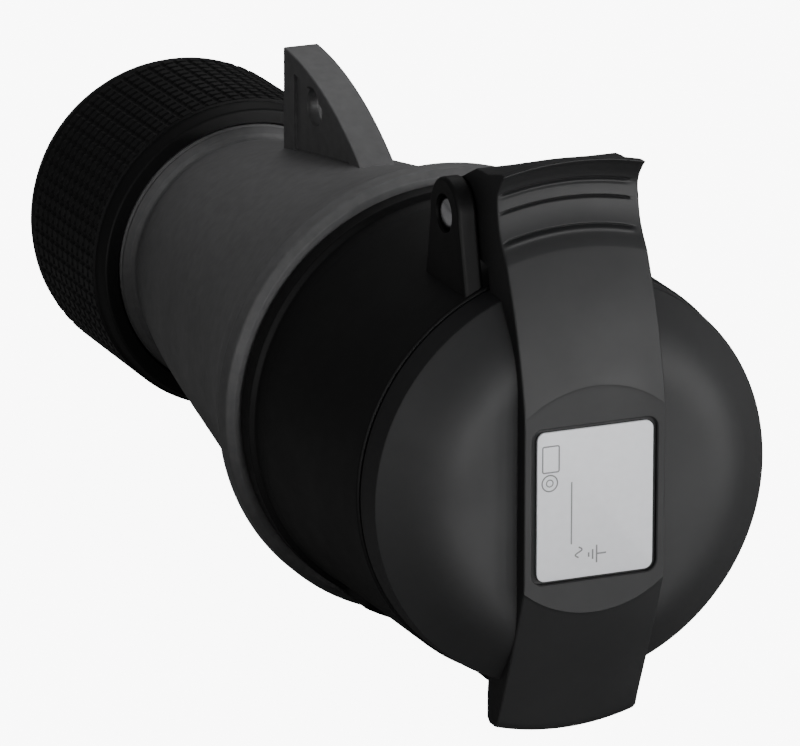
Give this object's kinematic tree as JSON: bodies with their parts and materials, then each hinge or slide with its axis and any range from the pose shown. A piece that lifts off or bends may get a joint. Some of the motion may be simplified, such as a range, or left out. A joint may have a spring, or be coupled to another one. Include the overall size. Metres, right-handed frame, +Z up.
{
  "type": "industrial cable coupler",
  "caption": "Heavy-duty pin-and-sleeve cable coupler with sprung hinged lid, round shroud, tapered handle with hanging lug and screw-down cable gland.",
  "frame": {"origin": "middle of the bounding box, at its lowest level", "axes": "+Y along the coupler's own axis from the lid to the cable gland, +Z up through the hinge and the hanging lug, +X to the right seen from the lid"},
  "size_m": [0.0838, 0.208, 0.1043],
  "materials": {
    "grey_plastic": "grey moulded polyamide, fine matt skin",
    "black_plastic": "black moulded polyamide, satin",
    "charcoal_plastic": "charcoal moulded polyamide, satin",
    "nut_plastic": "black moulded polyamide, knurled",
    "insert_plastic": "dark grey contact carrier, matt",
    "seal_rubber": "black sealing rubber",
    "label_plate": "pale grey plate with plain grey marks",
    "brass": "turned brass",
    "steel": "zinc plated steel",
    "nylon": "natural nylon"
  },
  "bodies": {
    "housing": {"rear_housing": "grey_plastic", "front_housing": "black_plastic", "contact_insert": "insert_plastic", "insert_back_plate": "insert_plastic", "contact_earth": "brass", "contact_l1": "brass", "contact_l2": "brass", "contact_l3": "brass", "contact_n": "brass", "terminal_screw_1": "steel", "terminal_screw_2": "steel", "terminal_screw_3": "steel", "terminal_screw_4": "steel", "terminal_screw_5": "steel", "insert_screw_left": "steel", "insert_screw_right": "steel", "body_seal": "seal_rubber", "hinge_pin": "steel", "lid_spring": "steel", "cable_seal": "seal_rubber", "clamp_cage": "nylon"},
    "lid": {"lid": "charcoal_plastic", "lid_label": "label_plate", "lid_gasket": "seal_rubber"},
    "washer": {"thrust_washer": "nylon"},
    "nut": {"gland_nut": "nut_plastic"}
  },
  "joints": [
    {"name": "lid_hinge", "type": "hinge", "parent": "housing", "child": "lid", "pos_m": [0, -0.0776, 0.0923], "axis": [-1, 0, 0], "range_deg": [0, 112], "stiffness_Nm_per_rad": 0.03, "springref_deg": -97.4, "deforming": ["lid_spring"]},
    {"name": "washer_slide", "type": "slide", "parent": "housing", "child": "washer", "axis": [0, 1, 0], "range_m": [0, 0.0091]},
    {"name": "nut_turn", "type": "hinge", "parent": "washer", "child": "nut", "pos_m": [0, 0.0805, 0.046], "axis": [0, 1, 0], "range_deg": [0, 1080]}
  ],
  "couplings": [
    {"joint": "washer_slide", "follows": "nut_turn", "m_per_rad": 0.00047746}
  ]
}
